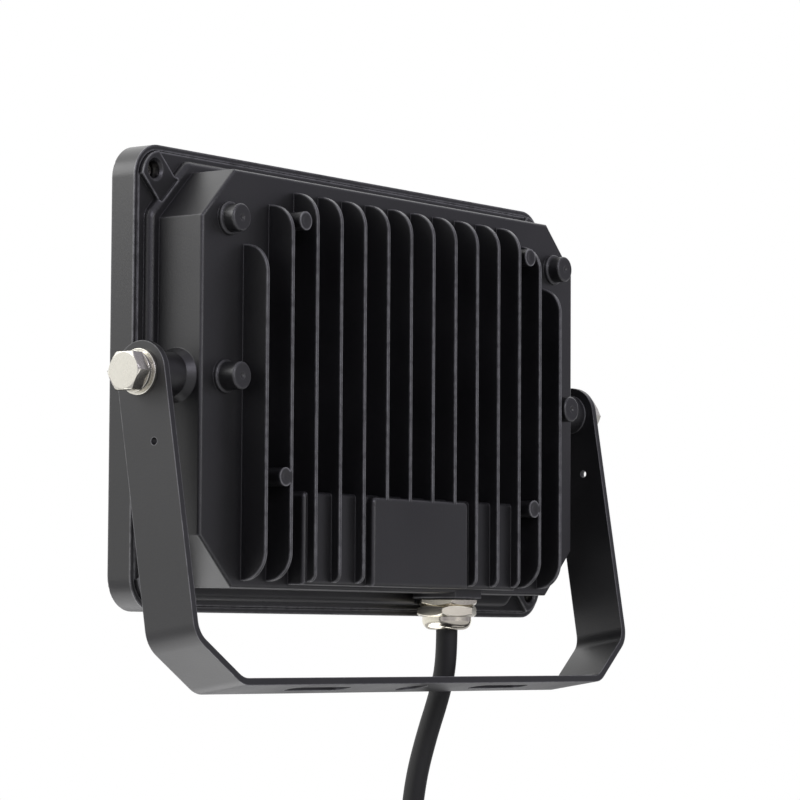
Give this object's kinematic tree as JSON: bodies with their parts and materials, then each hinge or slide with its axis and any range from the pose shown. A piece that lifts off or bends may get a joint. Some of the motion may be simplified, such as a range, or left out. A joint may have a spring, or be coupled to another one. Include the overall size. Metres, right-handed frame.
{
  "type": "motion sensor floodlight",
  "caption": "Rectangular LED floodlight with finned cast housing, glass front, built-in motion sensor, cable gland and cord, tilting in a folded steel stirrup bracket.",
  "frame": {"origin": "middle of the stirrup's outer face, on the axis of its centre hole", "axes": "+Z out of the mounting face towards the lamp, +X across the lamp along the row of slots, -Y the side that the glass faces, +Y the finned rear"},
  "size_m": [0.2812, 0.0725, 0.3443],
  "materials": {
    "powder_coat": "fine-textured matt black powder coat",
    "glass": "clear toughened",
    "seal_rubber": "soft silicone",
    "zinc_steel": "bright plated",
    "reflector_sheet": "bright anodised",
    "light_board": "white solder mask",
    "light_chip": "phosphor yellow",
    "thermal_pad": "soft, matt",
    "circuit_board": "green solder mask",
    "ferrite": "dull black",
    "capacitor_sleeve": "shrunk sleeve",
    "fuse_glass": "clear tube",
    "terminal_plastic": "moulded green",
    "cord_rubber": "matt black rubber",
    "core_brown": "brown insulation",
    "core_blue": "blue insulation",
    "core_green_yellow": "green and yellow insulation",
    "tinned_copper": "tinned",
    "lead_red": "red insulation",
    "cover_plastic": "white moulded",
    "sensor_lens": "clear red epoxy",
    "nickel_brass": "nickel plated",
    "fibre": "black fibre",
    "tie_plastic": "black nylon strap"
  },
  "bodies": {
    "bracket": {"mounting_bracket": "powder_coat"},
    "head": {"rear_housing": "powder_coat", "front_frame": "powder_coat", "glass_pane": "glass", "glass_seal": "seal_rubber", "gland_washer": "seal_rubber", "gland_seal": "seal_rubber", "frame_screws": "zinc_steel", "reflector_screws": "zinc_steel", "led_board_screws": "zinc_steel", "driver_screws": "zinc_steel", "earth_screw": "zinc_steel", "flat_washers": "zinc_steel", "spring_washers": "zinc_steel", "swivel_bolts": "zinc_steel", "reflector": "reflector_sheet", "led_board": "light_board", "led_chips": "light_chip", "thermal_pad": "thermal_pad", "driver_board": "circuit_board", "sensor_board": "circuit_board", "driver_transformer": "ferrite", "driver_chips": "ferrite", "sensor_chips": "ferrite", "driver_capacitors": "capacitor_sleeve", "driver_fuse": "fuse_glass", "terminal_block": "terminal_plastic", "inner_jacket": "cord_rubber", "cord_lead": "cord_rubber", "cord_coil": "cord_rubber", "cord_tail": "cord_rubber", "inner_core_live": "core_brown", "end_core_live": "core_brown", "inner_core_neutral": "core_blue", "end_core_neutral": "core_blue", "inner_core_earth": "core_green_yellow", "end_core_earth": "core_green_yellow", "earth_ring": "tinned_copper", "sensor_shield": "tinned_copper", "end_ferrules": "tinned_copper", "led_leads": "lead_red", "sensor_cover": "cover_plastic", "light_sensor": "sensor_lens", "gland_body": "nickel_brass", "gland_nut": "nickel_brass", "gland_lock_nut": "nickel_brass", "friction_rings": "fibre", "coil_tie": "tie_plastic"}
  },
  "joints": [
    {"name": "tilt", "type": "hinge", "parent": "bracket", "child": "head", "pos_m": [0, 0, 0.1091], "axis": [-1, 0, 0], "range_deg": [0, 170.8]}
  ]
}
